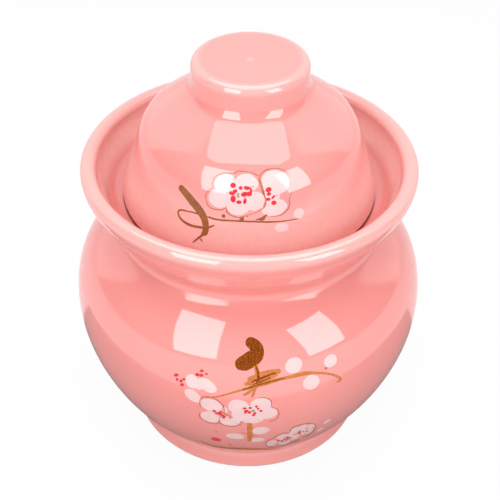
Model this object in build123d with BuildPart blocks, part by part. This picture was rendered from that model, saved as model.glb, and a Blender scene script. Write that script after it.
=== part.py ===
# Water seal pickle jar: a glazed ceramic jar with a water channel round its neck,
# a dome lid that stands in the channel and a flat inner lid on the mouth.
# Millimetres, +Z up. The origin is the centre of the circle that the foot stands on.
import os
from math import cos, radians, sin

from build123d import *

os.makedirs("parts", exist_ok=True)

# Jar body, outside
foot_radius = 59.3
foot_height = 9.0
foot_draft = 2.5
foot_edge_radius = 2.4
foot_crease_fillet = 0.8
belly_radius = 83.75
belly_height = 75.0
shoulder_height = 43.6
waist_radius = 61.7
waist_fillet = 2.5
flange_height = 31.1
flange_overhang = 15.3
lip_thickness = 7.2

# Swell of the outside curves: how far each curve keeps its first direction
belly_rise_angle = 51.0
belly_rise_reach = 24.7
belly_low_reach = 22.5
belly_high_reach = 32.3
waist_low_reach = 6.4
waist_flare_angle = 69.0
waist_flare_reach = 4.3
rim_low_reach = 8.8

# Jar body, inside and underneath
body_wall = 6.0
base_thickness = 6.0
foot_recess_depth = 3.5
foot_ring_width = 7.5
standing_width = 4.6
throat_low_reach = 6.5
throat_high_reach = 6.0
channel_floor_rise = 11.9
channel_floor_overhang = 0.9
channel_floor_width = 16.6
channel_floor_fillet = 3.0
channel_wall_reach = 7.0
neck_rise = 20.5
neck_wall = 5.0
neck_edge_radius = 1.6

# Dome lid
seat_clearance = 0.2
lid_setback = 4.3
lid_wall = 4.6
lid_skirt_foot = 5.8
lid_shoulder_rise = 18.6
lid_shoulder_overhang = 1.7
lid_crown_height = 29.9
grip_radius = 25.9
grip_height = 12.9
lid_foot_bend = 20.0
lid_shoulder_bend = 24.0
grip_root_bend = 8.0
grip_edge_radius = 2.6
grip_inside_radius = 3.0
lid_edge_radius = 2.2
grip_dish_depth = 0.8
grip_dish_radius = 21.0

# Inner lid
inner_lid_setback = 0.9
inner_lid_thickness = 4.6
inner_lid_rise = 1.6
inner_lid_edge_radius = 1.8
ring_clearance = 1.2
ring_depth = 5.5
ring_wall = 4.5
ring_edge_radius = 1.2
inner_knob_radius = 12.0
inner_knob_waist_radius = 7.5
inner_knob_height = 13.0
inner_knob_cap_height = 6.5
inner_knob_edge_radius = 2.4
inner_knob_root_fillet = 2.0


# A point at an angle above the outward direction
def polar_step(start, angle, reach):
    return (start[0] + reach * cos(radians(angle)), start[1] + reach * sin(radians(angle)))


# Points of a wall's inside, square in from its outside curve
def inset_points(curve, wall, places):
    points = []
    for place in places:
        on_curve = curve @ place
        along = curve % place
        points.append((on_curve.X - wall * along.Y, on_curve.Y + wall * along.X))
    return points


# The corner of a section nearest to a place
def corner(section, radius, height):
    return section.vertices().sort_by_distance((radius, height))[0]


# Jar body
waist_height = belly_height + shoulder_height
rim_height = waist_height + flange_height
rim_radius = waist_radius + flange_overhang
channel_floor_height = waist_height + channel_floor_rise
channel_floor_radius = waist_radius + channel_floor_overhang
neck_height = channel_floor_height + neck_rise
neck_radius = channel_floor_radius - channel_floor_width
mouth_radius = neck_radius - neck_wall
floor_height = foot_recess_depth + base_thickness
lip_radius = lip_thickness / 2
lip_centre_height = rim_height - lip_radius
foot_top = (foot_radius - foot_draft, foot_height)
belly = (belly_radius, belly_height)
waist = (waist_radius, waist_height)
rim = (rim_radius, lip_centre_height)
rim_inside = (rim_radius - lip_thickness, lip_centre_height)
ring_inside_radius = foot_radius - foot_ring_width
standing_outer_radius = foot_radius - (foot_ring_width - standing_width) / 2
standing_inner_radius = standing_outer_radius - standing_width
low_wall_shares = (0.1, 0.35, 0.65, 1.0)
high_wall_shares = (0.3, 0.55, 0.8, 1.0)

with BuildPart() as jar_body:
    with BuildSketch(Plane.XZ) as body_section:
        with BuildLine():
            Polyline((0, floor_height), (0, foot_recess_depth), (ring_inside_radius, foot_recess_depth))
            Line((ring_inside_radius, foot_recess_depth), (standing_inner_radius, 0))
            Line((standing_inner_radius, 0), (foot_radius, 0))
            Line((foot_radius, 0), foot_top)
            low_curve = Bezier(
                foot_top,
                polar_step(foot_top, belly_rise_angle, belly_rise_reach),
                (belly_radius, belly_height - belly_low_reach),
                belly,
            )
            high_curve = Bezier(
                belly,
                (belly_radius, belly_height + belly_high_reach),
                (waist_radius, waist_height - waist_low_reach),
                waist,
            )
            Bezier(
                waist,
                polar_step(waist, waist_flare_angle, waist_flare_reach),
                (rim_radius, lip_centre_height - rim_low_reach),
                rim,
            )
            ThreePointArc(rim, (rim_radius - lip_radius, rim_height), rim_inside)
            Bezier(
                rim_inside,
                (rim_inside[0], lip_centre_height - channel_wall_reach),
                (channel_floor_radius, channel_floor_height),
            )
            Line((channel_floor_radius, channel_floor_height), (neck_radius, channel_floor_height))
            Polyline(
                (neck_radius, channel_floor_height),
                (neck_radius, neck_height),
                (mouth_radius, neck_height),
                (mouth_radius, channel_floor_height),
            )
            wall_points = inset_points(low_curve, body_wall, low_wall_shares)
            wall_points += inset_points(high_curve, body_wall, high_wall_shares)
            wall_start = low_curve % low_wall_shares[0]
            Spline(*wall_points, tangents=(wall_start, high_curve % high_wall_shares[-1]))
            under_waist = wall_points[-1]
            Bezier(
                under_waist,
                (under_waist[0], under_waist[1] + throat_low_reach),
                (mouth_radius, channel_floor_height - throat_high_reach),
                (mouth_radius, channel_floor_height),
            )
            cove_top = wall_points[0]
            cove_reach = (cove_top[1] - floor_height) / wall_start.Y
            cove_corner = cove_top[0] - cove_reach * wall_start.X
            Bezier(cove_top, (cove_corner, floor_height), (cove_corner - cove_reach, floor_height))
            Line((cove_corner - cove_reach, floor_height), (0, floor_height))
        make_face()
        fillet(corner(body_section, foot_radius, 0), foot_edge_radius)
        fillet(corner(body_section, *foot_top), foot_crease_fillet)
        fillet(corner(body_section, *waist), waist_fillet)
        fillet(corner(body_section, channel_floor_radius, channel_floor_height), channel_floor_fillet)
        fillet(corner(body_section, neck_radius, channel_floor_height), channel_floor_fillet)
        fillet(corner(body_section, neck_radius, neck_height), neck_edge_radius)
        fillet(corner(body_section, mouth_radius, neck_height), neck_edge_radius)
    revolve(axis=Axis.Z)
jar_body.part.label = "jar_body"
export_step(jar_body.part, "parts/jar_body.step")

# Dome lid, an upturned bowl whose foot is the grip: one wall, hollow into the grip
lid_radius = channel_floor_radius - lid_setback
lid_bottom = channel_floor_height + seat_clearance
lid_shoulder_height = neck_height + lid_shoulder_rise
lid_top = lid_shoulder_height + lid_crown_height
dish_floor = lid_top - grip_dish_depth
dish_turn = grip_dish_radius / 2

with BuildPart() as dome_lid:
    with BuildSketch(Plane.XZ) as lid_section:
        with BuildLine():
            FilletPolyline(
                (0, lid_top),
                (grip_radius, lid_top),
                (grip_radius, lid_top - grip_height),
                (neck_radius + lid_shoulder_overhang, lid_shoulder_height),
                (lid_radius, lid_bottom + lid_skirt_foot),
                (lid_radius, lid_bottom),
                radius=[grip_edge_radius, grip_root_bend, lid_shoulder_bend, lid_foot_bend],
            )
            offset(amount=lid_wall, side=Side.RIGHT, closed=True)
        make_face()
        fillet(corner(lid_section, grip_radius - lid_wall, lid_top - lid_wall), grip_inside_radius)
        fillet(corner(lid_section, lid_radius, lid_bottom), lid_edge_radius)
        fillet(corner(lid_section, lid_radius - lid_wall, lid_bottom), lid_edge_radius)
    revolve(axis=Axis.Z)
    with BuildSketch(Plane.XZ):
        with BuildLine():
            Bezier(
                (0, dish_floor),
                (dish_turn, dish_floor),
                (dish_turn, lid_top),
                (grip_dish_radius, lid_top),
            )
            Polyline((grip_dish_radius, lid_top), (0, lid_top), (0, dish_floor))
        make_face()
    revolve(axis=Axis.Z, mode=Mode.SUBTRACT)
dome_lid.part.label = "dome_lid"
export_step(dome_lid.part, "parts/dome_lid.step")

# Inner lid, which lies on the neck and is centred by the ring under it
inner_seat = neck_height + seat_clearance
inner_lid_radius = neck_radius - inner_lid_setback
ring_radius = mouth_radius - ring_clearance
ring_inner_radius = ring_radius - ring_wall
inner_lid_top = inner_seat + inner_lid_thickness
inner_knob_root = inner_lid_top + inner_lid_rise
inner_knob_top = inner_knob_root + inner_knob_height
inner_cap_bottom = inner_knob_top - inner_knob_cap_height

with BuildPart() as inner_lid:
    with BuildSketch(Plane.XZ) as inner_section:
        with BuildLine():
            FilletPolyline(
                (0, inner_seat),
                (ring_inner_radius, inner_seat),
                (ring_inner_radius, inner_seat - ring_depth),
                (ring_radius, inner_seat - ring_depth),
                (ring_radius, inner_seat),
                (inner_lid_radius, inner_seat),
                (inner_lid_radius, inner_lid_top),
                (inner_knob_waist_radius, inner_knob_root),
                (inner_knob_waist_radius, inner_cap_bottom),
                (inner_knob_radius, inner_cap_bottom),
                (inner_knob_radius, inner_knob_top),
                (0, inner_knob_top),
                radius=[
                    ring_edge_radius,
                    ring_edge_radius,
                    ring_edge_radius,
                    ring_edge_radius,
                    inner_lid_edge_radius,
                    inner_lid_edge_radius,
                    inner_knob_root_fillet,
                    inner_knob_root_fillet,
                    inner_knob_edge_radius,
                    inner_knob_edge_radius,
                ],
            )
            Line((0, inner_knob_top), (0, inner_seat))
        make_face()
    revolve(axis=Axis.Z)
inner_lid.part.label = "inner_lid"
export_step(inner_lid.part, "parts/inner_lid.step")
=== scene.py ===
# Looks of the water seal pickle jar: turned pink glazed ceramic with brushed enamel blossoms.
# Lengths of pieces, glaze and brush marks are millimetres, and mm turns them into Blender's metres;
# the studio is in metres, and the grain of a noise counts its specks per metre.
from math import ceil, cos, exp, hypot, pi, radians, sin, tan

import bpy
from mathutils import Matrix, Vector


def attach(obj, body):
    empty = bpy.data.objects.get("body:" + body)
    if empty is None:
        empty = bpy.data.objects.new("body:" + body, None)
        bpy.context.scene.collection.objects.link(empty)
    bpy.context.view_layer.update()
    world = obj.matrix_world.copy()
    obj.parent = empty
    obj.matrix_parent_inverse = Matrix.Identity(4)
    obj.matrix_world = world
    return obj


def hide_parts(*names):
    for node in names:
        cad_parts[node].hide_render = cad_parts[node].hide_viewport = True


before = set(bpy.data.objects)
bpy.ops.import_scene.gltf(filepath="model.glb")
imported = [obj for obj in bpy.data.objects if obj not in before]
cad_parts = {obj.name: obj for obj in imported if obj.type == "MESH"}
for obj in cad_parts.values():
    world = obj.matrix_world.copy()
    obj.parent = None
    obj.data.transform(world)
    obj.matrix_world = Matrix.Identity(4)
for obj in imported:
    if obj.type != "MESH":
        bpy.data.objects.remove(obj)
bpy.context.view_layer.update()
mm = 0.001
print("frame loaded:", sorted(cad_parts))


# Node trees: values are joined by plain arithmetic
class Wire:
    # one output socket; arithmetic on it adds Math nodes
    def __init__(self, sheet, socket):
        self.sheet = sheet
        self.socket = socket

    def other(self, out):
        # another output of the same node
        return Wire(self.sheet, self.socket.node.outputs[out])

    def math(self, operation, *others):
        values = dict(enumerate((self,) + others))
        return self.sheet.add("ShaderNodeMath", {"operation": operation}, values)

    def __add__(self, other):
        return self.math("ADD", other)

    def __radd__(self, other):
        return self.math("ADD", other)

    def __sub__(self, other):
        return self.math("SUBTRACT", other)

    def __rsub__(self, other):
        return self.sheet.add("ShaderNodeMath", {"operation": "SUBTRACT"}, {0: other, 1: self})

    def __mul__(self, other):
        return self.math("MULTIPLY", other)

    def __rmul__(self, other):
        return self.math("MULTIPLY", other)

    def __truediv__(self, other):
        return self.math("DIVIDE", other)

    def __pow__(self, other):
        return self.math("POWER", other)

    def clip(self):
        return self.sheet.add("ShaderNodeClamp", {}, {"Value": self})


class Sheet:
    # one node tree being drawn
    def __init__(self, tree):
        self.tree = tree

    def add(self, kind, settings, sockets, out=0):
        # a socket is given a plain value, a wire or, where it takes several, a list of wires
        node = self.tree.nodes.new(kind)
        for name, value in settings.items():
            setattr(node, name, value)
        for key, value in sockets.items():
            if isinstance(value, (Wire, list)):
                for wire in value if isinstance(value, list) else [value]:
                    self.tree.links.new(wire.socket, node.inputs[key])
            else:
                node.inputs[key].default_value = value
        return Wire(self, node.outputs[out]) if node.outputs else None

    def mix(self, share, low, high):
        # a colour Mix has its colours at sockets 6 and 7 and its result at output 2
        return self.add("ShaderNodeMix", {"data_type": "RGBA"}, {0: share, 6: low, 7: high}, 2)

    def combine(self, x=0.0, y=0.0, z=0.0):
        return self.add("ShaderNodeCombineXYZ", {}, {"X": x, "Y": y, "Z": z})

    def vector(self, operation, a, b):
        return self.add("ShaderNodeVectorMath", {"operation": operation}, {0: a, 1: b})

    def bump(self, height):
        return self.add("ShaderNodeBump", {}, {"Strength": 1.0, "Distance": 1.0, "Height": height})


# Sections are paths of (radius, height)
arcStep = 0.45  # along a rounded corner
fewestSteps = 6
smallestTurn = 0.01  # a corner that turns less, in radians, needs no arc
closest = 0.02  # points nearer than this are one
welded = 0.002  # and corners of a turned mesh, such as those on the axis


def apart(a, b):
    return hypot(b[0] - a[0], b[1] - a[1])


def between(a, b, share):
    return (a[0] + (b[0] - a[0]) * share, a[1] + (b[1] - a[1]) * share)


def onward(start, degrees, reach):
    return (start[0] + reach * cos(radians(degrees)), start[1] + reach * sin(radians(degrees)))


def curve(*controls, count=40):
    # a Bezier curve: every point comes from going the same share along the lines between the controls
    points = []
    for i in range(count + 1):
        row = list(controls)
        while len(row) > 1:
            row = [between(a, b, i / count) for a, b in zip(row, row[1:])]
        points.append(row[0])
    return points


def cutShort(points, length):
    # a path without its first length
    for i, (a, b) in enumerate(zip(points, points[1:])):
        step = apart(a, b)
        if step > length:
            return [between(a, b, length / step)] + points[i + 1:]
        length -= step
    return points[-1:]


def joined(first, second, radius):
    # two paths that meet at a corner, joined by an arc
    corner = Vector(first[-1])
    turn = (corner - Vector(first[-2])).angle(Vector(second[1]) - corner)
    if radius == 0 or turn < smallestTurn:
        return first + second[1:]
    trim = radius * tan(turn / 2)
    first = cutShort(first[::-1], trim)[::-1]
    second = cutShort(second, trim)
    # the share at which a Bezier's inner controls make it an arc
    pull = 4 / 3 * tan(turn / 4) * radius / trim
    start, end = first[-1], second[0]
    count = max(fewestSteps, ceil(turn * radius / arcStep))
    arc = curve(start, between(start, corner, pull), between(end, corner, pull), end, count=count)
    return first + arc[1:-1] + second


def rounded(corners, radii):
    # a radius for each corner after the first; the last corner stays sharp
    path = corners[:2]
    for corner, radius in zip(corners[2:], radii):
        path = joined(path, [path[-1], corner], radius)
    return path


def beside(points, distance):
    # the same path moved to its right hand
    moved = []
    for i, point in enumerate(points):
        a, b = points[max(i - 1, 0)], points[min(i + 1, len(points) - 1)]
        share = distance / apart(a, b)
        moved.append((point[0] + share * (b[1] - a[1]), point[1] - share * (b[0] - a[0])))
    return moved


def finer(points, longest):
    # more points where a straight run is long, so that the turned mesh has no slivers
    result = [points[0]]
    for a, b in zip(points, points[1:]):
        count = max(1, ceil(apart(a, b) / longest))
        result += [between(a, b, i / count) for i in range(1, count + 1)]
    return [result[0]] + [b for a, b in zip(result, result[1:]) if apart(a, b) > closest]


def bends(points, spread):
    # how sharply the path turns at each point, evened out over the spread; a convex edge is positive
    farthest = 3  # spreads, past which a turn no longer counts
    places = [0]
    for a, b in zip(points, points[1:]):
        places.append(places[-1] + apart(a, b))
    turns = [0]
    for a, b, c in zip(points, points[1:], points[2:]):
        turns.append((Vector(b) - Vector(a)).angle_signed(Vector(c) - Vector(b), 0))
    turns.append(0)
    evened = []
    for place in places:
        far = [((place - other) / spread, turn) for other, turn in zip(places, turns)]
        evened.append(sum(turn * exp(-distance ** 2) for distance, turn in far if abs(distance) < farthest))
    return [total / (spread * pi ** 0.5) for total in evened]


# The jar's body, in the CAD's sizes; only waistCrease and channelSweep are rounder, as the photo's
# reflections show them. The seat's radii are points of the channel's floor on both sides of the lid's edge.
jar = {
    "footRadius": 59.3, "footHeight": 9.0, "footDraft": 2.5, "footEdge": 2.4, "footCrease": 0.8,
    "bellyRadius": 83.75, "bellyHeight": 75.0, "waistRadius": 61.7, "waistHeight": 118.6,
    "riseAngle": 51.0, "riseReach": 24.7, "lowReach": 22.5, "highReach": 32.3, "waistReach": 6.4,
    "rimRadius": 77.0, "rimHeight": 149.7, "lipRadius": 3.6, "waistCrease": 12.0,
    "flareAngle": 69.0, "flareReach": 4.3, "rimReach": 8.8,
    "wall": 6.0, "recessHeight": 3.5, "ringInside": 51.8, "standInner": 53.25, "standEdge": 0.8,
    "floorHeight": 9.5, "coveRise": 8.6, "throatLow": 6.5, "throatHigh": 6.0,
    "mouthRadius": 41.0, "neckRadius": 46.0, "neckHeight": 151.0, "neckEdge": 1.6,
    "channelFloor": 130.5, "channelRadius": 62.6, "channelReach": 7.0, "channelSweep": 8.0,
    "channelFillet": 3.0, "seat": (58.8, 58.3, 56.0, 55.5),
    "segments": 248, "longest": 2.4, "poolGloss": 0.3, "bareBelow": 0.9,
}
lipSteps = 24
channelSteps = 24
throatSteps = 16
coveSteps = 12


def jarOutside():
    # from the foot's top to the waist, upwards: the wall that the front picture is painted on
    footTop = (jar["footRadius"] - jar["footDraft"], jar["footHeight"])
    belly = (jar["bellyRadius"], jar["bellyHeight"])
    waist = (jar["waistRadius"], jar["waistHeight"])
    rise = onward(footTop, jar["riseAngle"], jar["riseReach"])
    low = curve(footTop, rise, (belly[0], belly[1] - jar["lowReach"]), belly)
    high = curve(belly, (belly[0], belly[1] + jar["highReach"]),
                 (waist[0], waist[1] - jar["waistReach"]), waist)
    return low + high[1:]


def jarInside(outside):
    # from the throat down to the middle of the floor, with fewer points than the outside
    waist = outside[-1]
    under = (waist[0] - jar["wall"], waist[1])
    throatTop = (jar["mouthRadius"], jar["channelFloor"])
    throat = curve(throatTop, (throatTop[0], throatTop[1] - jar["throatHigh"]),
                   (under[0], under[1] + jar["throatLow"]), under, count=throatSteps)
    wall = beside(outside[::-1], jar["wall"])[::2]
    wall = [p for p in wall if p[1] > jar["floorHeight"] + jar["coveRise"]]
    low, ahead = wall[-1], wall[-2]
    slope = (low[0] - ahead[0]) / (low[1] - ahead[1])
    drop = low[1] - jar["floorHeight"]
    corner = (low[0] - drop * slope, jar["floorHeight"])
    cove = curve(low, corner, (corner[0] - drop * hypot(1, slope), corner[1]), count=coveSteps)
    return throat + wall[1:] + cove[1:] + [(0, jar["floorHeight"])]


def jarSection():
    # from the middle of the floor up the inside, over the neck and the lip and down to the foot's middle;
    # it is built the other way round and turned about at the end
    outside = jarOutside()
    waist = outside[-1]
    lipCentre = (jar["rimRadius"] - jar["lipRadius"], jar["rimHeight"] - jar["lipRadius"])
    lip = [onward(lipCentre, 180 * i / lipSteps, jar["lipRadius"]) for i in range(lipSteps + 1)]
    rim, lipInside = lip[0], lip[-1]
    flare = onward(waist, jar["flareAngle"], jar["flareReach"])
    flange = curve(waist, flare, (rim[0], rim[1] - jar["rimReach"]), rim)
    channelWall = curve(lipInside, (lipInside[0], lipInside[1] - jar["channelReach"]),
                        (jar["channelRadius"], jar["channelFloor"]), count=channelSteps)
    path = joined(outside, flange, jar["waistCrease"]) + lip[1:] + channelWall[1:]
    seat = [(radius, jar["channelFloor"]) for radius in jar["seat"]]
    path = joined(path, [path[-1]] + seat, jar["channelSweep"])
    inside = jarInside(outside)
    neck = (((jar["neckRadius"], jar["channelFloor"]), 0),
            ((jar["neckRadius"], jar["neckHeight"]), jar["channelFillet"]),
            ((jar["mouthRadius"], jar["neckHeight"]), jar["neckEdge"]),
            (inside[0], jar["neckEdge"]))
    for corner, radius in neck:
        # the radius is that of the corner before
        path = joined(path, [path[-1], corner], radius)
    path += inside[1:]
    foot = [(0, jar["recessHeight"]), (jar["ringInside"], jar["recessHeight"]), (jar["standInner"], 0),
            (jar["footRadius"], 0), outside[0]]
    foot = rounded(foot, (0, jar["standEdge"], jar["footEdge"]))
    return joined(foot, path, jar["footCrease"])[::-1]


# The dome lid, in the CAD's sizes; its bends are the grip's edge, which is rounder than the CAD's, the
# grip's root, the shoulder and the skirt
lid = {
    "radius": 58.3, "bottom": 130.7, "skirtFoot": 136.5, "shoulder": (47.7, 169.6), "gripRadius": 25.9,
    "gripFoot": 186.6, "top": 199.5, "wall": 4.6, "bends": (3.8, 8.0, 24.0, 20.0), "insideCorner": 3.0,
    "edge": 2.2, "dishRadius": 21.0, "dishDepth": 0.8, "measuring": 50.0,
    "segments": 192, "longest": 1.6, "poolGloss": 0.0, "bareBelow": 0,
}
dishSteps = 24


def lidSection():
    # from the middle of the dish down the outside, round the edge and up the inside
    grip, root, shoulder, skirt = lid["bends"]
    corners = [(lid["dishRadius"], lid["top"]), (lid["gripRadius"], lid["top"]),
               (lid["gripRadius"], lid["gripFoot"]), lid["shoulder"],
               (lid["radius"], lid["skirtFoot"]), (lid["radius"], lid["bottom"])]
    outside = rounded(corners, (grip, root, shoulder, skirt))
    inner = [(0, lid["top"] - lid["wall"])]
    for before, corner, after in zip(corners, corners[1:], corners[2:]):
        a = (Vector(corner) - Vector(before)).normalized()
        b = (Vector(after) - Vector(corner)).normalized()
        right = Vector((a.y + b.y, -a.x - b.x)) / (1 + a.dot(b))
        inner.append(tuple(Vector(corner) + lid["wall"] * right))
    inner.append((lid["radius"] - lid["wall"], lid["bottom"]))
    inside = rounded(inner, (lid["insideCorner"], root + lid["wall"], shoulder - lid["wall"],
                             skirt - lid["wall"]))
    middle, dishFloor = lid["dishRadius"] / 2, lid["top"] - lid["dishDepth"]
    dish = curve((0, dishFloor), (middle, dishFloor), (middle, lid["top"]), corners[0], count=dishSteps)
    path = joined(outside, [outside[-1], inside[-1]], lid["edge"])
    path = joined(path, inside[::-1], lid["edge"])
    return dish + path[1:]


# The inner lid, in the CAD's sizes
innerLid = {
    "seat": 151.2, "radius": 45.1, "top": 155.8, "knobRoot": 157.4, "knobTop": 170.4, "capBottom": 163.9,
    "knobRadius": 12.0, "knobWaist": 7.5, "ringInner": 35.3, "ringOuter": 39.8, "ringBottom": 145.7,
    "knobBend": 2.4, "waistBend": 2.0, "edgeBend": 1.8, "ringBend": 1.2,
    "segments": 128, "longest": 1.8, "poolGloss": 0.1, "bareBelow": 0,
}


def innerLidSection():
    # from the knob's top down the outside and in along the underside
    size = innerLid
    corners = [
        (0, size["knobTop"]), (size["knobRadius"], size["knobTop"]),
        (size["knobRadius"], size["capBottom"]),
        (size["knobWaist"], size["capBottom"]), (size["knobWaist"], size["knobRoot"]),
        (size["radius"], size["top"]), (size["radius"], size["seat"]),
        (size["ringOuter"], size["seat"]), (size["ringOuter"], size["ringBottom"]),
        (size["ringInner"], size["ringBottom"]), (size["ringInner"], size["seat"]), (0, size["seat"]),
    ]
    knob, waist, edge, ring = size["knobBend"], size["waistBend"], size["edgeBend"], size["ringBend"]
    return rounded(corners, (knob, knob, waist, waist, edge, edge, ring, ring, ring, ring))


# Geometry Nodes trees
def newTree(name, inputs):
    tree = bpy.data.node_groups.new(name, "GeometryNodeTree")
    for label, kind in inputs.items():
        tree.interface.new_socket(label, in_out="INPUT", socket_type="NodeSocket" + kind)
    tree.interface.new_socket("Geometry", in_out="OUTPUT", socket_type="NodeSocketGeometry")
    sheet = Sheet(tree)
    entry = sheet.add("NodeGroupInput", {}, {})
    return sheet, {label: entry.other(label) for label in inputs}


def closeTree(sheet, mesh, material):
    whole = sheet.add("GeometryNodeRealizeInstances", {}, {"Geometry": mesh})
    dressed = sheet.add("GeometryNodeSetMaterial", {}, {"Geometry": whole, "Material": material})
    sheet.add("NodeGroupOutput", {}, {0: dressed})
    return sheet.tree


def turningTree():
    # a section in the XY plane, swept once round the axis like clay on a wheel
    sheet, given = newTree("turnedCeramic", {
        "Section": "Geometry", "Segments": "Int", "Spindle": "Float", "Glaze": "Material"})
    add = sheet.add
    section = add("GeometryNodeMeshToCurve", {}, {"Mesh": given["Section"]})
    ring = add("GeometryNodeCurvePrimitiveCircle", {}, {
        "Resolution": given["Segments"], "Radius": given["Spindle"]})
    swept = add("GeometryNodeCurveToMesh", {}, {"Curve": ring, "Profile Curve": section})
    closed = add("GeometryNodeMergeByDistance", {}, {"Geometry": swept, "Distance": welded * mm})
    smooth = add("GeometryNodeSetShadeSmooth", {}, {"Geometry": closed, "Shade Smooth": True})
    return closeTree(sheet, smooth, given["Glaze"])


# How every brush mark is made: the step along a stroke, the nib's corners, how far a stroke narrows at
# its tips, the grain of the hand's tremor, how steeply the upper side turns into the underside, and the
# angle in degrees from which an edge looks crisp
brush = {"step": 0.35, "nib": 12, "tip": 0.08, "tremor": (220.0, 1.0), "steep": 1000000, "crisp": 7}


def brushTree():
    # flat brush marks, in tape measure across and up the wall, laid on the turned wall;
    # loose points become oval dabs and lines become strokes with round ends
    sheet, given = newTree("brushwork", {
        "Marks": "Geometry", "Dab": "Object", "Wall": "Object", "Measuring Radius": "Float",
        "Wobble": "Float", "Enamel": "Material"})
    add = sheet.add

    def stored(name, kind="FLOAT"):
        return add("GeometryNodeInputNamedAttribute", {"data_type": kind}, {"Name": name})

    pillow = add("GeometryNodeObjectInfo", {}, {"Object": given["Dab"]}, "Geometry")
    turn = add("FunctionNodeEulerToRotation", {}, {"Euler": sheet.combine(z=stored("turn"))})
    dabs = add("GeometryNodeInstanceOnPoints", {}, {
        "Points": given["Marks"], "Selection": stored("dab", "BOOLEAN"), "Instance": pillow,
        "Rotation": turn, "Scale": stored("size", "FLOAT_VECTOR")})
    dabs = add("GeometryNodeRealizeInstances", {}, {"Geometry": dabs})

    line = add("GeometryNodeMeshToCurve", {}, {"Mesh": given["Marks"]})
    line = add("GeometryNodeCurveSplineType", {"spline_type": "CATMULL_ROM"}, {"Curve": line})
    line = add("GeometryNodeResampleCurve", {"mode": "LENGTH"}, {
        "Curve": line, "Length": brush["step"] * mm})
    along = add("GeometryNodeSplineParameter", {}, {}, "Length")
    total = add("GeometryNodeSplineLength", {}, {}, "Length")
    half = stored("width") * 0.5
    inset = (along.math("MINIMUM", total - along) / half).clip()
    roundEnd = (1 - (1 - inset) ** 2).clip().math("SQRT").math("MAXIMUM", brush["tip"])
    line = add("GeometryNodeSetCurveNormal", {"mode": "Z_UP"}, {"Curve": line})
    nib = add("GeometryNodeCurvePrimitiveCircle", {}, {"Resolution": brush["nib"], "Radius": 1.0})
    strokes = add("GeometryNodeCurveToMesh", {}, {
        "Curve": line, "Profile Curve": nib, "Scale": half * roundEnd, "Fill Caps": True})
    marks = add("GeometryNodeJoinGeometry", {}, {0: [dabs, strokes]})

    # the tremor shifts a mark's place on the wall, the same above and below it
    place = add("GeometryNodeInputPosition", {}, {})
    flat = sheet.vector("MULTIPLY", place, (1, 1, 0))
    grain, detail = brush["tremor"]
    shake = add("ShaderNodeTexNoise", {}, {"Vector": flat, "Scale": grain, "Detail": detail}, "Color")
    shift = sheet.vector("SUBTRACT", shake, (0.5, 0.5, 0.5))
    shift = add("ShaderNodeVectorMath", {"operation": "SCALE"}, {0: shift, "Scale": given["Wobble"]})
    across = add("ShaderNodeSeparateXYZ", {}, {0: sheet.vector("ADD", place, shift)}, "X")
    up = across.other("Y")

    # 1 on a mark's upper side and -1 on its underside, so that it is as thick as twice its lift
    side = add("ShaderNodeSeparateXYZ", {}, {0: place}, "Z") * brush["steep"]
    proud = (side.clip() - (side * -1).clip()) * stored("lift")

    wall = add("GeometryNodeObjectInfo", {}, {"Object": given["Wall"]}, "Geometry")
    wall = add("GeometryNodeMeshToCurve", {}, {"Mesh": wall})
    sample = add("GeometryNodeSampleCurve", {"mode": "LENGTH", "use_all_curves": True}, {
        "Curves": wall, "Length": up}, "Position")
    spot = add("ShaderNodeSeparateXYZ", {}, {0: sample}, "X")
    lean = add("ShaderNodeSeparateXYZ", {}, {0: sample.other("Tangent")}, "X")
    angle = across / given["Measuring Radius"]
    out = spot + proud * lean.other("Z")
    height = spot.other("Z") - proud * lean
    laid = sheet.combine(angle.math("SINE") * out, angle.math("COSINE") * out * -1, height)
    marks = add("GeometryNodeSetPosition", {}, {"Geometry": marks, "Position": laid})
    marks = add("GeometryNodeSetShadeSmooth", {}, {"Geometry": marks, "Shade Smooth": True})
    bend = add("GeometryNodeInputMeshEdgeAngle", {}, {}, "Unsigned Angle")
    crisp = add("FunctionNodeCompare", {"operation": "GREATER_THAN"}, {
        0: bend, 1: radians(brush["crisp"])})
    marks = add("GeometryNodeSetShadeSmooth", {"domain": "EDGE"}, {
        "Geometry": marks, "Selection": crisp, "Shade Smooth": False})
    return closeTree(sheet, marks, given["Enamel"])


# Materials
def colour(red, green, blue):
    return (red, green, blue, 1.0)


def newMaterial(name):
    material = bpy.data.materials.new(name)
    material.use_nodes = True
    material.node_tree.nodes.clear()
    return material, Sheet(material.node_tree)


def shade(sheet, sockets):
    # the surface shader: plain numbers sit on its own sockets, what varies is linked
    shader = sheet.add("ShaderNodeBsdfPrincipled", {}, sockets, "BSDF")
    sheet.add("ShaderNodeOutputMaterial", {}, {"Surface": shader})


def noise(sheet, place, grain, detail):
    return sheet.add("ShaderNodeTexNoise", {}, {"Vector": place, "Scale": grain, "Detail": detail}, "Fac")


# A grain is a noise's specks per metre and its detail; a speckle is what the noise adds to a plain share
glazeLook = {
    "usual": colour(0.76, 0.25, 0.23), "cloudy": colour(0.78, 0.27, 0.25), "pale": colour(0.84, 0.47, 0.44),
    # the last colour on the next line is a painted shadow, for the gap where the lid stands in the channel
    "deep": colour(0.72, 0.22, 0.2), "dirt": colour(0.27, 0.06, 0.05),
    "clay": colour(0.72, 0.6, 0.5), "darkClay": colour(0.6, 0.47, 0.38),
    "cloudGrain": (16.0, 3.0), "fineGrain": (420.0, 2.0), "clayGrain": (900.0, 4.0),
    "cloudStart": 0.35, "cloudSteep": 2.2, "thinPlain": 0.65, "thinSpeckle": 0.5,
    "poolPlain": 0.7, "poolSpeckle": 0.4,
    "index": 1.8, "roughness": 0.035, "unevenness": 0.03, "gapShadowRoughness": 0.4, "bareRoughness": 0.62,
    "waves": 0.05, "waveGrain": (42.0, 1.0), "peel": 0.0012, "peelGrain": (900.0, 1.0),
    "grit": 0.03, "gritGrain": (2600.0, 2.0),
}


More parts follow.
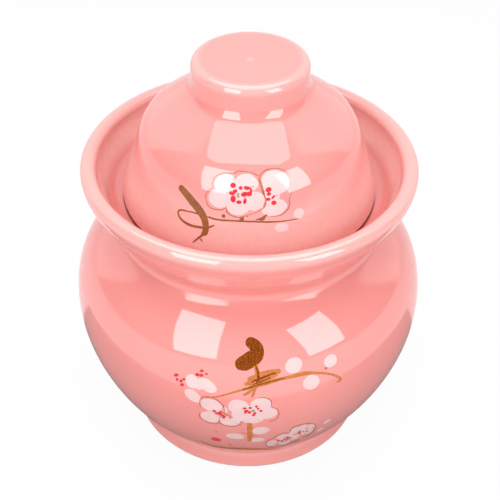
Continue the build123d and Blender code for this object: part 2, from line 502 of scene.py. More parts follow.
def glazeWaves(sheet, place):
    return noise(sheet, place, *glazeLook["waveGrain"]) * (glazeLook["waves"] * mm)


def glazeMaterial(name, poolGloss):
    look = glazeLook
    material, sheet = newMaterial(name)
    place = sheet.add("ShaderNodeTexCoord", {}, {}, "Object")

    def stored(attribute):
        return sheet.add("ShaderNodeAttribute", {"attribute_name": attribute}, {}, "Fac")

    cloud = noise(sheet, place, *look["cloudGrain"])
    fine = noise(sheet, place, *look["fineGrain"])
    # these carry the glaze's own thinning over edges and pooling in creases, and with them painted light
    # and painted shade
    thin = stored("thin") * (fine * look["thinSpeckle"] + look["thinPlain"])
    pool = stored("pool") * (cloud * look["poolSpeckle"] + look["poolPlain"])
    # a painted shadow in the gap where the lid stands, darker and rougher
    dirt = stored("dirt")
    bare = stored("bare")
    clay = sheet.mix(noise(sheet, place, *look["clayGrain"]), look["clay"], look["darkClay"])
    cloud = ((cloud - look["cloudStart"]) * look["cloudSteep"]).clip()
    body = sheet.mix(cloud, look["usual"], look["cloudy"])
    body = sheet.mix(thin.clip(), body, look["pale"])
    body = sheet.mix(pool.clip(), body, look["deep"])
    body = sheet.mix(dirt, body, look["dirt"])
    body = sheet.mix(bare, body, clay)
    roughness = fine * look["unevenness"] + look["roughness"] + stored("pool") * poolGloss
    roughness = roughness + dirt * look["gapShadowRoughness"] + bare * look["bareRoughness"]
    height = glazeWaves(sheet, place) + noise(sheet, place, *look["peelGrain"]) * (look["peel"] * mm)
    height = height + noise(sheet, place, *look["gritGrain"]) * bare * (look["grit"] * mm)
    shade(sheet, {"IOR": look["index"], "Base Color": body, "Roughness": roughness,
                  "Normal": sheet.bump(height)})
    return material


# Each enamel's light and dark colour, specks per metre, contrast, roughness and index of refraction
enamelLooks = {
    "petalWhite": (colour(0.76, 0.53, 0.525), colour(0.7, 0.47, 0.47), 260.0, 1.6, 0.06, 1.6),
    "petalLine": (colour(0.5, 0.16, 0.09), colour(0.33, 0.085, 0.045), 700.0, 2.5, 0.12, 1.5),
    "stamenRed": (colour(0.7, 0.035, 0.05), colour(0.52, 0.02, 0.03), 600.0, 2.0, 0.1, 1.3),
    "heartGreen": (colour(0.34, 0.3, 0.22), colour(0.24, 0.26, 0.17), 900.0, 2.0, 0.1, 1.5),
    "barkBrown": (colour(0.31, 0.105, 0.03), colour(0.2, 0.062, 0.016), 500.0, 1.8, 0.12, 1.4),
    "birdGold": (colour(0.3, 0.07, 0.004), colour(0.11, 0.02, 0.001), 1500.0, 3.0, 0.15, 1.2),
    "branchWash": (colour(0.6, 0.19, 0.045), colour(0.4, 0.11, 0.018), 900.0, 2.6, 0.12, 1.4),
    "groundBrown": (colour(0.26, 0.085, 0.045), colour(0.14, 0.045, 0.025), 300.0, 2.5, 0.15, 1.3),
}
enamelBrush = {"washDetail": 3.0, "relief": 0.01, "reliefDetail": 2.0, "unevenness": 0.04}


def enamelMaterial(name, light, dark, grain, contrast, roughness, index):
    # brushed enamel, uneven where the brush left more or less of it
    material, sheet = newMaterial(name)
    place = sheet.add("ShaderNodeTexCoord", {}, {}, "Object")
    wash = noise(sheet, place, grain, enamelBrush["washDetail"])
    share = ((wash - 0.5) * contrast + 0.5).clip()
    relief = noise(sheet, place, grain * 2, enamelBrush["reliefDetail"]) * (enamelBrush["relief"] * mm)
    shade(sheet, {"IOR": index, "Base Color": sheet.mix(share, light, dark),
                  "Roughness": share * enamelBrush["unevenness"] + roughness,
                  "Normal": sheet.bump(glazeWaves(sheet, place) + relief)})
    return material


enamels = {name: enamelMaterial(name, *look) for name, look in enamelLooks.items()}


# Making the pieces
def placed(name, data):
    obj = bpy.data.objects.new(name, data)
    bpy.context.scene.collection.objects.link(obj)
    return obj


def pathObject(name, points, attributes=(), edges=None):
    mesh = bpy.data.meshes.new(name)
    if edges is None:
        edges = [(i, i + 1) for i in range(len(points) - 1)]
    mesh.from_pydata(points, edges, [])
    for attribute, kind, values in attributes:
        layer = mesh.attributes.new(attribute, kind, "POINT")
        if kind == "FLOAT_VECTOR":
            layer.data.foreach_set("vector", [x for v in values for x in v])
        else:
            layer.data.foreach_set("value", values)
    return placed(name, mesh)


def grown(name, seed, tree, values):
    # runs a tree on its seed object and keeps the result as a plain mesh
    grower = seed.modifiers.new("grow", "NODES")
    grower.node_group = tree
    for item in tree.interface.items_tree:
        if item.in_out == "INPUT" and item.name in values:
            grower[item.identifier] = values[item.name]
    shapes = bpy.context.evaluated_depsgraph_get()
    mesh = bpy.data.meshes.new_from_object(seed.evaluated_get(shapes))
    mesh.name = name
    seed.modifiers.remove(grower)
    bpy.data.objects.remove(seed)
    return placed(name, mesh)


turning = turningTree()
brushwork = brushTree()
spindle = 50.0  # the sweep's ring; a section starts this far inside it, so that it reaches the axis
# How the glaze answers to a bend in the section, in radians for each millimetre: where it begins to draw
# thin over an edge or to pool in a crease, how much further it is thinnest or deepest, and how thin it gets
firing = {
    "spread": 1.4, "edge": 0.06, "edgeRange": 0.28, "thinnest": 0.58,
    "crease": 0.04, "creaseRange": 0.3,
}


def ramp(value, start, length):
    # 0 at the start and 1 a length further on, upwards or, where the length is negative, downwards
    return min(1, max(0, (value - start) / length))


def peak(value, middle, reach):
    return max(0, 1 - abs(value - middle) / reach)


def nowhere(r, z):
    return 0


def turned(name, section, size, paler=nowhere, grime=nowhere):
    # the glaze draws thin over sharp edges, pools in creases and is wiped off what stands in the kiln;
    # at a radius and height, paler gives painted light, and painted shade where it is negative, and the
    # last function gives a painted shadow in the gap under the lid's edge
    points = finer(section, size["longest"])
    thin, pool = [], []
    for (r, z), bend in zip(points, bends(points, firing["spread"])):
        # positive values are painted light and negative ones painted shade
        sprayed = paler(r, z)
        thin.append(max(sprayed, firing["thinnest"] * ramp(bend, firing["edge"], firing["edgeRange"])))
        settled = max(0, -bend - firing["crease"]) / firing["creaseRange"]
        pool.append(min(1, max(0, -sprayed) + settled * (1 - max(0, sprayed))))
    # a painted shadow where the lid stands in the channel
    dirt = [float(grime(r, z)) for r, z in points]
    bare = [float(z < size["bareBelow"]) for r, z in points]
    # the sweep puts a section's x outwards from the spindle and its y downwards
    seed = pathObject(name + "Seed", [((r - spindle) * mm, -z * mm, 0) for r, z in points], (
        ("thin", "FLOAT", thin), ("pool", "FLOAT", pool), ("dirt", "FLOAT", dirt), ("bare", "FLOAT", bare)))
    glaze = glazeMaterial(name + "Glaze", size["poolGloss"])
    piece = grown(name, seed, turning, {
        "Segments": size["segments"], "Spindle": spindle * mm, "Glaze": glaze})
    print(name, len(points), "section points,", len(piece.data.polygons), "faces")
    return piece


# Where the glaze is made paler, mostly as painted light, and deeper as painted shade, and where a painted
# shadow lies in the lid's gap: shares of the full change, and the heights and radii between which each
# holds
jarSpray = {
    "neckClear": 47.0, "channelFrom": 125.0, "channelTurn": 131.5, "channelRise": 5.0, "channelRim": 72.0,
    "rimFade": 3.0, "footFrom": 50.0, "footTop": 11.0, "footFade": 3.0, "footPale": 0.25, "linePale": 0.75,
    "lineReach": 1.5, "creaseFrom": 61.0, "creaseTop": 130.4, "creaseMiddle": 124.0, "creaseReach": 6.3,
    "creaseDeep": 0.8, "creaseFlat": 1.5, "gapShadowInner": 55.95, "gapShadowOuter": 58.35, "gapShadowHigh": 1.0,
}
lidSpray = {
    "spotPale": 0.6, "spotReach": 2.4, "spotFrom": 197.0, "skirtPale": 0.75, "skirtTop": 160.0,
    "skirtFade": 16.0, "gripDeep": 0.35, "gripFrom": 25.0, "gripLow": 186.0, "gripHigh": 196.0,
    "gapShadowTop": 131.7, "gapShadowFade": 0.7,
}


def jarPaler(r, z):
    # painted light up the channel's wall and on the foot ring, with a painted highlight along the foot's
    # crease;
    # painted shade on the channel's floor and in the crease under the flange
    spray = jarSpray
    # painted light up the channel's wall, painted shade low on it and on its floor
    channel = min(1, max(-1, (z - spray["channelTurn"]) / spray["channelRise"]))
    channel *= ramp(r, spray["channelRim"], -spray["rimFade"])
    channel *= r > spray["neckClear"] and z > spray["channelFrom"]
    # painted light on the foot ring
    foot = spray["footPale"] * ramp(z, spray["footTop"], -spray["footFade"])
    # a painted highlight line along the crease over the foot
    foot += spray["linePale"] * peak(z, jar["footHeight"], spray["lineReach"])
    foot *= r > spray["footFrom"]
    # painted shade in the crease under the flange
    crease = spray["creaseFlat"] * peak(z, spray["creaseMiddle"], spray["creaseReach"])
    crease = spray["creaseDeep"] * min(1, crease)
    crease *= r > spray["creaseFrom"] and z < spray["creaseTop"]
    return channel + foot - crease


def lidPaler(r, z):
    # painted light towards the edge, paler on the grip's centre, and painted shade on the grip's side
    spray = lidSpray
    # painted light on the lower dome, towards the edge
    skirt = spray["skirtPale"] * ramp(z, spray["skirtTop"], -spray["skirtFade"])
    spot = spray["spotPale"] * peak(r, 0, spray["spotReach"]) * (z > spray["spotFrom"])
    # painted shade on the grip's side
    side = spray["gripDeep"] * (r > spray["gripFrom"] and spray["gripLow"] < z < spray["gripHigh"])
    return skirt + spot - side


def jarGrime(r, z):
    # a painted shadow on the channel's floor, in the gap where the lid stands
    onFloor = abs(z - jar["channelFloor"]) < jarSpray["gapShadowHigh"]
    return onFloor and jarSpray["gapShadowInner"] < r < jarSpray["gapShadowOuter"]


def lidGrime(r, z):
    # a painted shadow along the lid's standing edge, in the gap where it stands
    return ramp(z, lidSpray["gapShadowTop"], -lidSpray["gapShadowFade"])


jarPiece = turned("jar_glazed", jarSection(), jar, jarPaler, jarGrime)
lidPiece = turned("lid_glazed", lidSection(), lid, lidPaler, lidGrime)
innerPiece = turned("inner_lid_glazed", innerLidSection(), innerLid)
for piece, body, node, slot in (
        (jarPiece, "jar", "jar_body", "jar_glaze"),
        (lidPiece, "dome", "dome_lid", "lid_glaze"),
        (innerPiece, "inner", "inner_lid", "inner_glaze")):
    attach(piece, body)
    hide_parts(node)


# The painting: dabs are (across, up, half length, half width, turn in degrees) and strokes are
# (across, up, width) along the brush, all in tape measure on the wall. Across is measured at the belly,
# and on the lid at its measuring radius; up starts at the wall's lower end.
dabRings = (0.3, 0.6, 0.85, 1.0)
dabSpokes = 28
wallStep = 0.8
layerStep = 0.003  # marks that may cross lie on layers of their own
layers = 9


def dabObject():
    # one flat oval pillow, a closed plate of rings, that every dab copies
    points, faces = [(0, 0, 1), (0, 0, -1)], []
    for ring in dabRings:
        for side in (1, -1):
            angles = [2 * pi * i / dabSpokes for i in range(dabSpokes)]
            points += [(ring * cos(angle), ring * sin(angle), side) for angle in angles]

    def at(ring, side, i):
        return 2 + (ring * 2 + side) * dabSpokes + i % dabSpokes

    last = len(dabRings) - 1
    for i in range(dabSpokes):
        faces.append((0, at(0, 0, i), at(0, 0, i + 1)))
        faces.append((1, at(0, 1, i + 1), at(0, 1, i)))
        for ring in range(last):
            out = ring + 1
            faces.append((at(ring, 0, i), at(out, 0, i), at(out, 0, i + 1), at(ring, 0, i + 1)))
            faces.append((at(ring, 1, i + 1), at(out, 1, i + 1), at(out, 1, i), at(ring, 1, i)))
        faces.append((at(last, 0, i), at(last, 1, i), at(last, 1, i + 1), at(last, 0, i + 1)))
    mesh = bpy.data.meshes.new("dab")
    mesh.from_pydata(points, [], faces)
    return placed("dab", mesh)


def lidOutside():
    # from the lid's edge to its top, upwards
    section = lidSection()
    skirtEnd = next(i for i, (r, z) in enumerate(section) if z < lid["bottom"] + lid["edge"] + closest)
    return [(lid["radius"], lid["bottom"])] + section[:skirtEnd + 1][::-1]


def wallObject(name, path):
    return pathObject(name, [(r * mm, 0, z * mm) for r, z in finer(path, wallStep)])


dab = dabObject()
walls = {
    "jar": (wallObject("jarWall", jarOutside()), jar["bellyRadius"]),
    "dome": (wallObject("lidWall", lidOutside()), lid["measuring"]),
}
markKinds = {"dab": "BOOLEAN", "size": "FLOAT_VECTOR", "turn": "FLOAT", "width": "FLOAT", "lift": "FLOAT"}


def painted(name, body, slot, enamel, lift, wobble, dabs, strokes):
    points, edges = [], []
    marks = {key: [] for key in markKinds}

    def put(u, v, n, **mark):
        points.append((u * mm, v * mm, 0))
        mark["lift"] = (lift + layerStep * (n % layers)) * mm
        for key, value in mark.items():
            marks[key].append(value)

    for n, (u, v, length, width, degrees) in enumerate(dabs):
        put(u, v, n, dab=True, size=(length * mm, width * mm, mm), turn=radians(degrees), width=0)
    for n, stroke in enumerate(strokes):
        start = len(points)
        for u, v, width in stroke:
            put(u, v, n, dab=False, size=(0, 0, 0), turn=0, width=width * mm)
        edges += [(i, i + 1) for i in range(start, len(points) - 1)]
    attributes = [(key, markKinds[key], marks[key]) for key in markKinds]
    seed = pathObject(name + "Seed", points, attributes, edges)
    wall, measuring = walls[body]
    piece = grown(name, seed, brushwork, {
        "Dab": dab, "Wall": wall, "Measuring Radius": measuring * mm, "Wobble": wobble * mm,
        "Enamel": enamels[enamel]})
    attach(piece, body)
    print(name, len(piece.data.polygons), "faces")


# Each piece of the painting: its name, enamel, lift off the wall, wobble, dabs and strokes
lidPainting = [
    ("lid_petals", "petalWhite", 0.05, 0.9, [
        (-4.4, 33.4, 4.6, 4.2, 0), (-10.5, 38.2, 4.9, 3.7, 28), (-12.5, 31.3, 4.5, 3.9, -8),
        (-4.3, 28.5, 4.7, 3.6, 6), (2.3, 31.3, 4.4, 4.0, 24), (-1.2, 38.9, 5.1, 3.8, -6),
        (11.4, 38.6, 6.4, 5.1, -12), (9.2, 32.6, 3.6, 3.2, 0), (10.3, 27.8, 5.3, 3.6, 8),
        (20.3, 23.3, 2.2, 2.3, 30), (12.8, 18.5, 2.6, 2.1, 0)
    ], []),
    ("lid_petal_lines", "petalLine", 0.085, 0.5, [], [
        [(-18.1, 29.8, 0.4), (-16.3, 27.0, 0.5), (-12.3, 26.3, 0.5), (-9.2, 27.6, 0.3)],
        [(-9.1, 27.6, 0.3), (-8.8, 26.1, 0.6), (-7.0, 24.6, 0.6), (-4.2, 24.0, 0.5), (-0.5, 25.0, 0.3),
         (3.2, 26.6, 0.3), (6.3, 28.5, 0.5), (6.9, 31.5, 0.6), (5.6, 35.3, 0.5), (4.6, 38.8, 0.5),
         (4.5, 41.0, 0.5)],
        [(4.1, 42.0, 0.6), (0.5, 43.4, 0.3), (-4.9, 43.8, 0.5), (-6.2, 43.1, 0.7), (-7.5, 42.6, 0.6),
         (-11.1, 42.4, 0.4), (-15.0, 40.4, 0.4), (-16.0, 37.6, 0.3), (-15.6, 35.6, 0.4),
         (-17.2, 33.8, 0.3), (-18.2, 32.0, 0.4), (-18.1, 29.8, 0.4)],
        [(4.6, 40.6, 0.5), (5.0, 42.2, 0.5), (7.5, 43.9, 0.5), (11.4, 44.5, 0.3), (15.6, 43.4, 0.3),
         (18.0, 40.9, 0.3)],
        [(18.2, 33.2, 0.2), (17.0, 31.4, 0.3), (16.5, 27.5, 0.6), (14.6, 25.1, 0.5), (11.6, 24.0, 0.3),
         (8.3, 24.2, 0.3)],
        [(4.7, 40.5, 0.5), (5.8, 36.8, 0.5), (6.6, 33.3, 0.6), (6.8, 31.0, 0.5), (5.8, 28.4, 0.3)]
    ]),
    ("lid_stamens", "stamenRed", 0.1, 0.2, [
        (-6.9, 37.7, 1.2, 1.1, 0), (-5.9, 35.3, 1.0, 0.8, 20), (-7.2, 34.3, 1.3, 0.8, -10),
        (-6.5, 31.9, 1.1, 1.5, 0), (-4.1, 30.7, 1.1, 0.8, 0), (-1.7, 31.2, 0.7, 1.3, -12),
        (-1.9, 34.2, 1.5, 1.0, 15), (0.0, 34.4, 1.2, 1.0, 0), (-1.1, 36.9, 1.2, 0.8, -15),
        (-3.6, 36.8, 0.8, 0.8, 0), (8.2, 35.9, 1.3, 1.0, 15), (8.3, 34.1, 0.9, 0.8, 10),
        (7.9, 31.8, 1.0, 0.7, 0), (10.0, 32.5, 1.0, 0.5, 45), (10.2, 30.0, 1.1, 1.0, 0)
    ], [
        [(-1.4, 37.1, 0.8), (0.1, 37.0, 0.9), (0.8, 35.9, 1.1), (0.4, 34.6, 1.2)],
        [(0.6, 37.4, 0.3), (2.3, 37.6, 0.3)],
        [(10.6, 33.0, 0.3), (11.9, 33.2, 0.2)],
        [(-1.7, 33.2, 0.4), (-1.7, 31.6, 0.5)]
    ]),
    ("lid_blossom_heart", "heartGreen", 0.13, 0.3, [
        (-4.5, 33.6, 0.5, 1.1, 10)
    ], [
        [(-5.2, 34.2, 0.4), (-3.9, 33.2, 0.4)],
        [(-5.1, 32.6, 0.4), (-4.0, 34.5, 0.4)]
    ]),
    ("lid_bark", "barkBrown", 0.07, 0.5, [
        (-10.0, 24.0, 0.8, 0.8, 0), (-2.8, 23.3, 1.0, 0.7, 20), (-0.5, 24.5, 0.3, 0.3, 0),
        (5.3, 23.4, 1.2, 0.8, 20)
    ], [
        [(-31.2, 31.8, 3.0), (-27.3, 29.8, 3.4), (-23.5, 27.0, 3.8), (-20.3, 24.5, 3.6),
         (-18.0, 21.5, 3.1), (-16.9, 18.5, 2.7), (-16.9, 15.5, 2.5), (-17.6, 13.6, 1.6)],
        [(-17.5, 14.0, 1.2), (-19.1, 12.2, 0.9), (-20.3, 10.6, 0.7), (-21.4, 9.0, 0.4)],
        [(-18.7, 12.0, 0.8), (-17.4, 10.7, 0.4)],
        [(-18.5, 14.6, 0.7), (-17.2, 14.2, 0.8), (-16.0, 15.2, 0.5)],
        [(-16.4, 22.5, 0.7), (-20.9, 22.6, 0.7), (-25.1, 22.4, 0.7), (-28.3, 21.8, 0.8),
         (-29.5, 20.5, 0.9), (-28.6, 18.5, 1.0), (-25.9, 17.0, 1.2), (-22.7, 16.5, 1.2),
         (-19.3, 16.8, 1.2), (-16.4, 17.3, 1.0), (-14.4, 18.5, 0.8), (-13.3, 19.3, 0.5)],
        [(-16.4, 22.5, 1.0), (-12.5, 22.0, 0.9), (-7.4, 22.2, 0.8), (-1.9, 22.4, 0.8), (4.1, 22.1, 0.8),
         (9.6, 21.6, 0.7), (15.2, 21.3, 0.5), (20.1, 21.0, 0.4)],
        [(-3.3, 23.0, 1.0), (-2.0, 24.6, 0.7)],
        [(2.6, 23.2, 0.4), (5.0, 23.6, 1.2), (7.3, 25.2, 0.9)]
    ]),
]
bellyPainting = [
    ("belly_petals", "petalWhite", 0.05, 0.8, [
        (2.5, 67.0, 4.2, 4.0, 0), (-3.8, 69.8, 4.6, 4.8, 10), (6.1, 71.2, 4.8, 4.3, 8),
        (9.4, 65.1, 4.3, 4.3, -10), (2.6, 61.8, 5.2, 4.4, 0), (-3.2, 63.4, 3.7, 4.2, 15),
        (-15.8, 69.1, 5.0, 4.2, -18), (-16.8, 60.2, 4.4, 4.3, -12), (-7.8, 58.7, 4.8, 3.8, -4),
        (-9.6, 67.0, 1.1, 1.9, 10), (-24.2, 73.0, 4.4, 3.2, -42), (-24.6, 81.5, 3.2, 3.9, 0),
        (-17.8, 80.9, 5.0, 3.1, -36), (-21.6, 80.3, 2.4, 2.6, 0), (21.1, 91.1, 4.0, 3.7, 20),
        (38.8, 88.6, 3.3, 3.2, 0), (28.9, 80.4, 3.9, 4.2, 10), (6.7, 50.2, 4.2, 3.6, 10),
        (-5.6, 43.4, 4.5, 3.3, -12), (5.3, 38.9, 3.8, 2.9, 4), (13.4, 31.5, 5.0, 2.8, 86),
        (17.8, 38.5, 4.7, 2.7, 82), (21.4, 40.6, 3.0, 2.3, -73), (20.9, 30.0, 5.0, 3.2, -70),
        (25.0, 35.7, 3.7, 3.1, 88), (23.9, 45.0, 3.8, 2.5, 89), (27.7, 46.8, 2.9, 2.5, -77),
        (32.4, 45.3, 2.8, 1.8, -59), (32.3, 39.8, 3.9, 2.3, -86), (29.2, 40.2, 3.7, 2.2, -81)
    ], [
        [(40.6, 41.9, 2.1), (41.8, 43.9, 4.0), (43.2, 45.5, 1.9)],
        [(38.3, 34.6, 2.3), (40.3, 35.1, 3.8), (42.2, 35.7, 1.9)]
    ]),
    ("belly_petal_lines", "petalLine", 0.085, 0.4, [], [
        [(-20.9, 66.6, 0.3), (-21.1, 70.6, 0.4), (-19.8, 73.4, 0.5), (-16.6, 74.4, 0.5),
         (-12.4, 72.5, 0.5), (-10.3, 68.6, 0.6), (-10.1, 64.8, 0.4)],
        [(-21.5, 62.0, 0.4), (-21.7, 58.6, 0.6), (-18.8, 55.4, 0.5), (-14.6, 54.7, 0.5),
         (-12.3, 57.0, 0.6), (-12.8, 60.0, 0.4)],
        [(-12.8, 57.4, 0.6), (-10.8, 54.9, 0.5), (-6.6, 53.9, 0.4), (-2.9, 56.3, 0.4), (-2.3, 59.2, 0.3)],
        [(5.0, 75.6, 0.3), (8.0, 75.5, 0.5), (10.6, 73.2, 0.4), (11.1, 69.3, 0.3), (13.3, 67.6, 0.4),
         (14.5, 64.6, 0.4), (13.7, 60.2, 0.5), (9.9, 57.8, 0.5)],
        [(11.6, 26.5, 0.5), (10.2, 32.4, 0.6), (11.2, 36.6, 0.8), (13.9, 40.8, 0.8), (16.2, 43.6, 1.1),
         (19.1, 44.4, 1.0), (21.3, 42.9, 0.6)],
        [(11.6, 26.5, 1.4), (14.8, 23.3, 2.2), (20.3, 22.3, 2.6), (24.3, 25.8, 3.0), (28.0, 27.6, 3.6),
         (30.2, 28.5, 2.1)],
        [(21.4, 44.6, 0.4), (21.7, 47.9, 0.8), (23.9, 50.0, 1.0), (27.4, 50.4, 0.9), (31.2, 49.1, 0.8),
         (34.4, 46.0, 0.5), (35.8, 40.7, 0.6), (35.4, 35.5, 1.2), (33.2, 32.5, 2.4), (30.5, 32.0, 1.8)]
    ]),
    ("belly_stamens", "stamenRed", 0.1, 0.15, [
        (-1.0, 69.0, 0.9, 0.7, 0), (-0.2, 67.3, 1.1, 0.8, 15), (1.5, 69.4, 0.8, 0.7, 0),
        (1.2, 66.2, 0.8, 0.9, 0), (4.2, 70.3, 0.6, 0.8, 20), (5.0, 68.8, 0.6, 0.7, 0),
        (6.3, 67.2, 0.8, 0.7, 0), (3.6, 65.6, 0.7, 0.8, 0), (3.0, 64.2, 0.8, 0.8, 30),
        (-0.6, 66.0, 0.7, 0.6, 0), (-15.8, 36.2, 2.7, 2.7, 0), (-32.2, 82.6, 1.2, 0.8, 36),
        (-31.7, 80.4, 0.8, 0.6, 50), (-29.8, 80.2, 1.0, 0.6, 49), (-28.4, 81.6, 0.8, 0.6, 32),
        (-29.3, 78.2, 1.0, 0.8, 33), (-20.4, 88.1, 1.0, 0.6, 15), (-22.4, 85.7, 0.9, 0.8, 48),
        (-20.5, 85.8, 1.1, 0.7, 18), (-18.2, 86.9, 0.6, 0.5, -25), (-14.5, 65.5, 1.0, 0.7, -35),
        (-13.6, 63.8, 0.9, 0.5, 42), (-12.0, 63.8, 1.3, 0.8, -35), (-10.4, 62.3, 1.1, 0.7, -35),
        (-11.8, 65.3, 0.6, 0.5, 53), (-10.5, 61.0, 0.7, 0.6, -10), (-7.6, 61.5, 0.6, 0.5, 20),
        (16.5, 35.8, 2.1, 0.7, -53), (19.0, 33.3, 1.8, 0.8, -67), (19.8, 36.0, 1.2, 0.8, -79),
        (21.0, 37.9, 1.3, 0.9, -76), (22.8, 36.3, 1.6, 0.6, -72), (21.0, 33.2, 1.1, 0.6, -82),
        (21.8, 34.6, 1.1, 0.8, -62), (27.0, 41.8, 1.3, 0.7, -60), (27.3, 39.6, 1.1, 0.5, -60),
        (29.0, 41.2, 1.0, 0.4, -53), (31.1, 40.4, 1.1, 0.6, -41)
    ], []),
    ("belly_blossom_heart", "heartGreen", 0.13, 0.3, [
        (2.8, 67.4, 0.9, 0.8, 20)
    ], [
        [(2.0, 67.0, 0.4), (3.6, 68.0, 0.4)]
    ]),
    ("belly_bird", "birdGold", 0.08, 0.5, [], [
        [(-1.0, 103.3, 4.5), (2.2, 102.6, 5.3), (4.2, 100.1, 6.7), (3.6, 97.1, 7.3), (0.5, 94.9, 7.5),
         (-2.7, 92.8, 7.3), (-4.3, 90.9, 6.2)]
    ]),
    ("belly_branch", "branchWash", 0.065, 0.5, [
        (36.2, 85.7, 0.8, 0.6, -42)
    ], [
        [(2.9, 94.4, 2.0), (4.3, 90.6, 2.2), (4.9, 87.1, 2.9), (4.7, 84.1, 2.7), (4.0, 81.4, 1.8)],
        [(0.1, 85.9, 2.0), (3.6, 87.2, 2.5), (7.1, 88.4, 3.0), (11.2, 89.2, 2.7), (15.2, 89.2, 2.2)],
        [(-1.4, 83.5, 2.1), (2.3, 84.4, 2.9), (6.7, 85.5, 3.4), (10.7, 86.9, 2.5), (13.6, 88.0, 1.8)],
        [(0.1, 85.3, 1.0), (4.0, 86.0, 2.6), (8.5, 87.2, 2.5), (12.1, 88.3, 1.5)],
        [(-18.6, 73.2, 0.4), (-15.6, 74.4, 0.8), (-12.2, 75.6, 0.8), (-8.6, 77.4, 1.1), (-3.0, 80.0, 1.4),
         (2.3, 82.1, 1.9), (6.7, 83.4, 2.6), (12.4, 84.8, 1.9), (18.3, 85.6, 1.7), (22.4, 86.0, 2.1),
         (26.2, 86.0, 2.1), (30.4, 85.2, 1.4), (35.7, 83.1, 1.2), (40.2, 80.4, 1.1), (43.2, 77.4, 1.2),
         (42.9, 75.8, 1.8), (41.4, 75.9, 0.7)],
        [(3.2, 82.3, 1.9), (1.2, 79.5, 1.6), (-1.6, 76.9, 1.4)],
        [(3.8, 82.0, 1.6), (3.0, 78.9, 1.3), (2.0, 76.0, 0.9)],
        [(-11.4, 65.9, 0.6), (-8.8, 63.5, 0.8), (-6.1, 61.8, 0.7)],
        [(1.2, 58.0, 2.3), (1.6, 50.8, 2.7), (1.6, 44.0, 2.6), (1.5, 37.2, 2.0)],
        [(-2.6, 48.4, 0.9), (0.9, 46.6, 0.7)],
        [(2.2, 45.6, 0.7), (5.7, 43.3, 0.5)]
    ]),
    ("belly_branch_core", "birdGold", 0.1, 0.5, [], [
        [(3.4, 93.4, 0.8), (4.5, 90.4, 1.0), (4.9, 87.0, 1.4), (4.4, 84.0, 1.2)],
        [(1.6, 84.6, 0.6), (5.4, 86.2, 1.2), (9.4, 87.8, 1.0), (13.0, 88.8, 0.7)],
        [(2.4, 83.2, 0.6), (6.4, 84.9, 0.9), (10.6, 86.8, 0.6)],
        [(-2.0, 80.4, 0.5), (4.0, 82.8, 0.8), (9.6, 84.3, 0.7), (16.4, 85.5, 0.5)]
    ]),
    ("belly_ground", "branchWash", 0.06, 0.4, [], [
        [(-25.9, 28.0, 1.4), (-23.5, 25.6, 2.6), (-20.5, 22.6, 3.7), (-15.5, 22.2, 4.3),
         (-8.7, 23.2, 4.2), (-0.4, 23.5, 3.9), (8.0, 21.7, 3.4), (15.5, 18.4, 2.8), (21.8, 14.7, 1.6)],
        [(-9.4, 32.6, 0.5), (-8.5, 29.2, 0.7), (-7.6, 26.1, 0.6)],
        [(-15.3, 48.1, 0.4), (-13.8, 46.1, 0.5)]
    ]),
    ("belly_ground_line", "groundBrown", 0.1, 0.4, [], [
        [(-22.8, 23.1, 0.9), (-19.0, 20.8, 1.9), (-13.0, 21.4, 2.1), (-4.7, 22.8, 2.0), (3.3, 22.0, 1.7),
         (10.5, 19.9, 1.3), (20.7, 13.8, 0.8)]
    ]),
]
for body, slot, painting in (("dome", "lid_glaze", lidPainting), ("jar", "jar_glaze", bellyPainting)):
    for name, enamel, lift, wobble, dabs, strokes in painting:
        painted(name, body, slot, enamel, lift, wobble, dabs, strokes)
for helper in (dab, walls["jar"][0], walls["dome"][0]):
    bpy.data.objects.remove(helper)


# Studio: camera at the photo's angle, two tall softboxes in front and a long one overhead.
# A softbox is its top left, top right and bottom left corner, seen from behind it, and its brightness.
# Each edge is how steeply one tone goes over into the next.
studio = {
    "camera": (0.0, -0.41327, 0.43203), "pitch": 39.34, "roll": 0.6, "lens": 78.83, "sensor": 36,
    "shift": 0.003, "nearest": 0.01,
    "softboxes": [
        ("leftBox", (-1.047, -0.761, 1.364), (-0.367, -1.134, 1.435), (-1.214, -1.296, 0.159), 4.1),
        ("rightBox", (0.639, -1.224, 1.203), (1.088, -0.703, 1.274), (1.025, -1.408, 0.114), 4.1),
        ("overheadBox", (-0.393, 0.15, 0.6), (0.347, 0.131, 0.566), (-0.393, -0.362, 0.919), 2.3),
    ],
    "wall": 1.1, "wallStart": 0.37, "wallLean": 0.57, "wallEdge": 12.0, "side": 0.2, "front": 0.6,
    "floor": 3.0, "paper": 0.8, "paperWhite": 0.93, "paperGlow": 0.4,
    "board": 0.28, "boardRadius": 0.165, "boardNarrow": 0.8, "boardBack": 0.038, "boardEdge": 100.0,
    "backEdge": 150.0, "sheet": 0.4, "sheetRadius": 0.1, "sheetEdge": 40.0,
}


def addCamera():
    data = bpy.data.cameras.new("camera")
    data.lens = studio["lens"]
    data.sensor_width = studio["sensor"]
    data.shift_x = studio["shift"]
    data.clip_start = studio["nearest"]
    tilt = Matrix.Rotation(radians(90 - studio["pitch"]), 4, "X")
    roll = Matrix.Rotation(radians(studio["roll"]), 4, "Z")
    camera = placed("camera", data)
    camera.matrix_world = Matrix.Translation(studio["camera"]) @ tilt @ roll
    bpy.context.scene.camera = camera


def addSoftbox(name, topLeft, topRight, bottomLeft, brightness):
    across = Vector(topRight) - Vector(topLeft)
    down = Vector(bottomLeft) - Vector(topLeft)
    data = bpy.data.lights.new(name, "AREA")
    data.shape = "RECTANGLE"
    data.size = across.length
    data.size_y = down.length
    # an area light's brightness is its power over pi times its area
    data.energy = brightness * pi * data.size * data.size_y
    x = across.normalized()
    z = x.cross(-down).normalized()
    turn = Matrix((x, z.cross(x), z)).transposed().to_4x4()
    lamp = placed(name, data)
    lamp.matrix_world = Matrix.Translation(Vector(topLeft) + (across + down) / 2) @ turn
    lamp.visible_camera = False


def rayKind(sheet, kind):
    return sheet.add("ShaderNodeLightPath", {}, {}, kind)


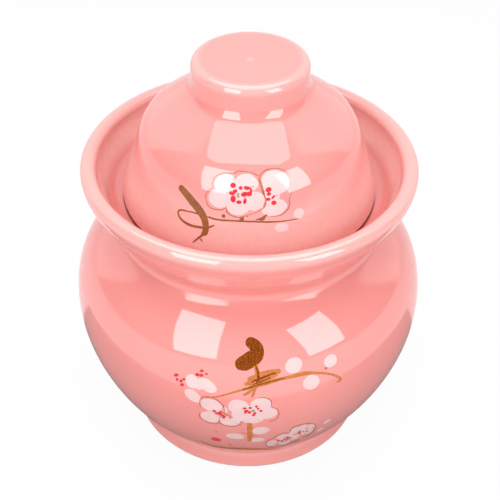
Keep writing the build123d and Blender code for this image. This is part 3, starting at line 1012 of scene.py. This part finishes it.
def addWorld():
    # a white wall and ceiling behind and above, a dimmer room in front, plain white to the camera
    world = bpy.data.worlds.new("studio")
    bpy.context.scene.world = world
    world.use_nodes = True
    world.node_tree.nodes.clear()
    sheet = Sheet(world.node_tree)
    direction = sheet.add("ShaderNodeTexCoord", {}, {}, "Generated")
    back = sheet.add("ShaderNodeSeparateXYZ", {}, {0: direction}, "Y")
    wall = back + back.other("Z") * studio["wallLean"] - studio["wallStart"]
    wall = (wall * studio["wallEdge"] + 0.5).clip()
    room = (back * -1).clip() ** 2 * studio["front"] + studio["side"]
    plain = rayKind(sheet, "Is Camera Ray").math("MAXIMUM", rayKind(sheet, "Is Transmission Ray"))
    strength = (room + wall * (studio["wall"] - room)) * (1 - plain) + plain
    sky = sheet.add("ShaderNodeBackground", {}, {"Color": colour(1, 1, 1), "Strength": strength})
    sheet.add("ShaderNodeOutputWorld", {}, {"Surface": sky})


def addFloor():
    # white paper that still takes a faint shadow; the jar mirrors a darker board that sticks out in front
    # of it, and a bright sheet under the foot lights the glaze above it
    size = studio["floor"]
    mesh = bpy.data.meshes.new("floor")
    corners = [(-size, -size, 0), (size, -size, 0), (size, size, 0), (-size, size, 0)]
    mesh.from_pydata(corners, [], [(0, 1, 2, 3)])
    floor = placed("floor", mesh)
    material, sheet = newMaterial("floorPaper")
    seen = rayKind(sheet, "Is Camera Ray")
    mirrored = rayKind(sheet, "Is Glossy Ray")
    place = sheet.add("ShaderNodeTexCoord", {}, {}, "Object")
    oval = sheet.vector("MULTIPLY", place, (studio["boardNarrow"], 1, 1))
    reach = sheet.add("ShaderNodeVectorMath", {"operation": "LENGTH"}, {0: oval}, "Value")
    depth = sheet.add("ShaderNodeSeparateXYZ", {}, {0: place}, "Y")
    behind = ((depth - studio["boardBack"]) * studio["backEdge"]).clip()
    beyond = ((reach - studio["boardRadius"]) * studio["boardEdge"]).clip().math("MAXIMUM", behind)
    under = ((studio["sheetRadius"] - reach) * studio["sheetEdge"]).clip() * studio["sheet"]
    grey = beyond.math("MAXIMUM", seen) * (studio["paper"] - studio["board"])
    grey = grey + (under * (1 - seen) * (1 - mirrored) + studio["board"])
    paper = sheet.add("ShaderNodeBsdfDiffuse", {}, {"Color": grey})
    glow = sheet.add("ShaderNodeEmission", {}, {"Color": colour(1, 1, 1), "Strength": 1.0})
    share = (seen * studio["paperWhite"]).math("MAXIMUM", mirrored * beyond * studio["paperGlow"])
    both = sheet.add("ShaderNodeMixShader", {}, {0: share, 1: paper, 2: glow})
    sheet.add("ShaderNodeOutputMaterial", {}, {"Surface": both})
    mesh.materials.append(material)


addCamera()
for box in studio["softboxes"]:
    addSoftbox(*box)
addWorld()
addFloor()
bpy.context.scene.view_settings.view_transform = "Standard"
print("studio ready")
